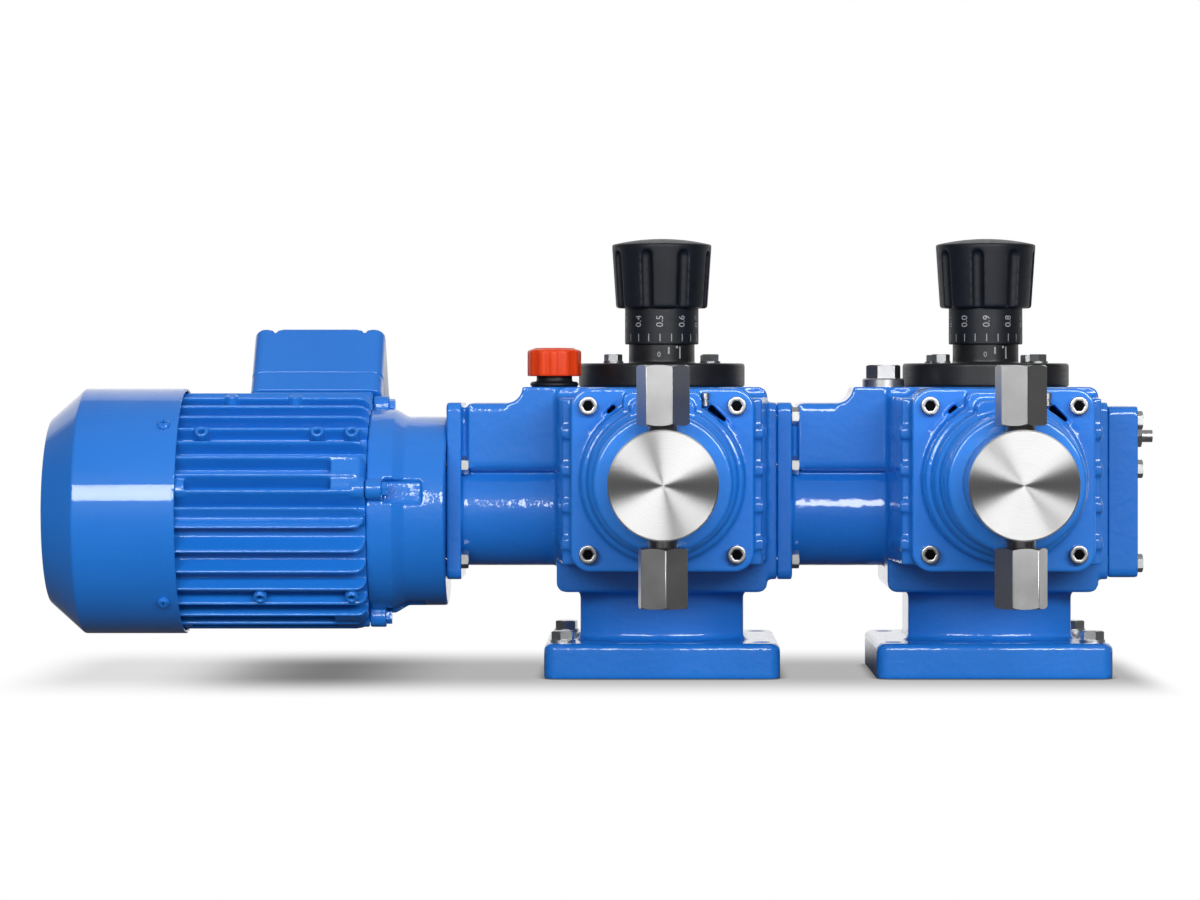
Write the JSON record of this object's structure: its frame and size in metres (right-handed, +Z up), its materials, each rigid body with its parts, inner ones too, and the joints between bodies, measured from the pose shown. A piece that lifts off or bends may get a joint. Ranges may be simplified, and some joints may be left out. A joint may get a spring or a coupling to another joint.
{
  "type": "plunger metering pump",
  "caption": "Twin plunger metering pump: a flange motor drives worm gear units in line, each stroking a plunger in its own steel head, set by a micrometer knob.",
  "frame": {"origin": "on the floor, midway between the axes of the two gear units", "axes": "+X along the motor and worm shafts, away from the motor; -Y is the side of the pump heads; +Z up"},
  "size_m": [0.6961, 0.3707, 0.276],
  "materials": {
    "blue_paint": "gloss",
    "stainless": "turned",
    "zinc_steel": "plated",
    "dark_steel": "oiled",
    "black_coat": "satin",
    "black_plastic": "satin",
    "orange_plastic": "satin",
    "bronze": "machined",
    "ceramic_white": "gloss",
    "packing": "matte",
    "copper_core": "varnished"
  },
  "bodies": {
    "root": {"motor_frame": "blue_paint", "drive_end_shield": "blue_paint", "rear_end_shield": "blue_paint", "fan_cowl": "blue_paint", "cowl_screws": "blue_paint", "shield_screws": "blue_paint", "stator": "copper_core", "motor_bearings": "zinc_steel", "terminal_base": "blue_paint", "terminal_lid": "blue_paint", "lid_screws": "zinc_steel", "cable_gland": "black_plastic", "worm_bearings": "zinc_steel", "gear_housing_1": "blue_paint", "gear_housing_2": "blue_paint", "side_screws": "zinc_steel", "end_cover": "blue_paint", "oil_plugs": "zinc_steel", "lantern_1": "blue_paint", "lantern_2": "blue_paint", "lantern_screws": "stainless", "stop_pins": "stainless", "pump_head_1": "stainless", "pump_head_2": "stainless", "packings": "packing", "suction_valve_1": "stainless", "suction_valve_2": "stainless", "discharge_valve_1": "stainless", "discharge_valve_2": "stainless", "top_flange_1": "black_coat", "top_flange_2": "black_coat", "top_bolts": "dark_steel", "vent_base": "black_plastic", "vent_cap": "orange_plastic", "filler_plug": "stainless", "foot_bolts": "zinc_steel"},
    "rotor": {"motor_shaft": "dark_steel", "rotor_core": "dark_steel", "cooling_fan": "black_plastic", "couplings": "dark_steel", "worm_shaft_1": "dark_steel", "worm_shaft_2": "dark_steel"},
    "wheel_1": {"worm_wheel_1": "bronze", "eccentric_1": "dark_steel"},
    "plunger_1_set": {"crosshead_1": "dark_steel", "plunger_1": "ceramic_white"},
    "spindle_1": {"stroke_spindle_1": "dark_steel"},
    "knob_1_set": {"knob_1": "black_plastic", "scale_ring_1": "black_plastic"},
    "suction_check_1": {"suction_ball_1": "stainless"},
    "discharge_check_1": {"discharge_ball_1": "stainless"},
    "wheel_2": {"worm_wheel_2": "bronze", "eccentric_2": "dark_steel"},
    "plunger_2_set": {"crosshead_2": "dark_steel", "plunger_2": "ceramic_white"},
    "spindle_2": {"stroke_spindle_2": "dark_steel"},
    "knob_2_set": {"knob_2": "black_plastic", "scale_ring_2": "black_plastic"},
    "suction_check_2": {"suction_ball_2": "stainless"},
    "discharge_check_2": {"discharge_ball_2": "stainless"}
  },
  "joints": [
    {"name": "rotor_spin", "type": "hinge", "parent": "root", "child": "rotor", "pos_m": [-0.2385, -0.024, 0.103], "axis": [1, 0, 0], "continuous": true},
    {"name": "wheel_spin_1", "type": "hinge", "parent": "root", "child": "wheel_1", "pos_m": [-0.1035, 0, 0.103], "axis": [0, 0, 1], "continuous": true},
    {"name": "plunger_stroke_1", "type": "slide", "parent": "root", "child": "plunger_1_set", "axis": [0, -1, 0], "range_m": [0, 0.008]},
    {"name": "spindle_lift_1", "type": "slide", "parent": "root", "child": "spindle_1", "axis": [0, 0, 1], "range_m": [-0.0101, 0.0021]},
    {"name": "knob_turn_1", "type": "hinge", "parent": "spindle_1", "child": "knob_1_set", "pos_m": [-0.1035, 0, 0.25], "axis": [0, 0, 1], "range_deg": [-3600, 720]},
    {"name": "suction_lift_1", "type": "slide", "parent": "root", "child": "suction_check_1", "axis": [0, 0, 1], "range_m": [0, 0.0025]},
    {"name": "discharge_lift_1", "type": "slide", "parent": "root", "child": "discharge_check_1", "axis": [0, 0, 1], "range_m": [0, 0.0025]},
    {"name": "wheel_spin_2", "type": "hinge", "parent": "root", "child": "wheel_2", "pos_m": [0.1035, 0, 0.103], "axis": [0, 0, 1], "continuous": true},
    {"name": "plunger_stroke_2", "type": "slide", "parent": "root", "child": "plunger_2_set", "axis": [0, -1, 0], "range_m": [0, 0.008]},
    {"name": "spindle_lift_2", "type": "slide", "parent": "root", "child": "spindle_2", "axis": [0, 0, 1], "range_m": [-0.0101, 0.0021]},
    {"name": "knob_turn_2", "type": "hinge", "parent": "spindle_2", "child": "knob_2_set", "pos_m": [0.1035, 0, 0.25], "axis": [0, 0, 1], "range_deg": [-3600, 720]},
    {"name": "suction_lift_2", "type": "slide", "parent": "root", "child": "suction_check_2", "axis": [0, 0, 1], "range_m": [0, 0.0025]},
    {"name": "discharge_lift_2", "type": "slide", "parent": "root", "child": "discharge_check_2", "axis": [0, 0, 1], "range_m": [0, 0.0025]}
  ],
  "couplings": [
    {"joint": "wheel_spin_1", "follows": "rotor_spin", "ratio": -0.038462},
    {"joint": "spindle_lift_1", "follows": "knob_turn_1", "m_per_rad": 0.00015915},
    {"joint": "wheel_spin_2", "follows": "rotor_spin", "ratio": -0.038462},
    {"joint": "spindle_lift_2", "follows": "knob_turn_2", "m_per_rad": 0.00015915}
  ]
}
